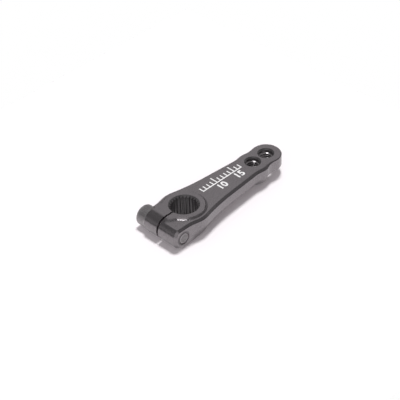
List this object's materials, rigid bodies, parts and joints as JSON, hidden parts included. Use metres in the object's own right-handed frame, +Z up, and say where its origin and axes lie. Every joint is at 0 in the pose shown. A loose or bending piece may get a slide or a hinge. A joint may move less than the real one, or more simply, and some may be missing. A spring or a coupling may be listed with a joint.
{
  "type": "servo horn",
  "caption": "Clamping servo horn: a splined hub split for a cross screw, and a tapered arm with tapped rod holes near its round tip.",
  "frame": {"origin": "centre of the splined bore, on its axis, half-way up the hub", "axes": "+Z up the spline axis, away from the servo; +X along the arm to the rod holes; the clamp screw lies along Y with its head towards +Y"},
  "size_m": [0.035, 0.0124, 0.0052],
  "materials": {
    "anodised_aluminium": "fine matt anodised",
    "screw_steel": "satin",
    "white_marking": "matt ink"
  },
  "bodies": {
    "root": {"horn_body": "anodised_aluminium", "clamp_screw": "screw_steel"}
  },
  "joints": []
}
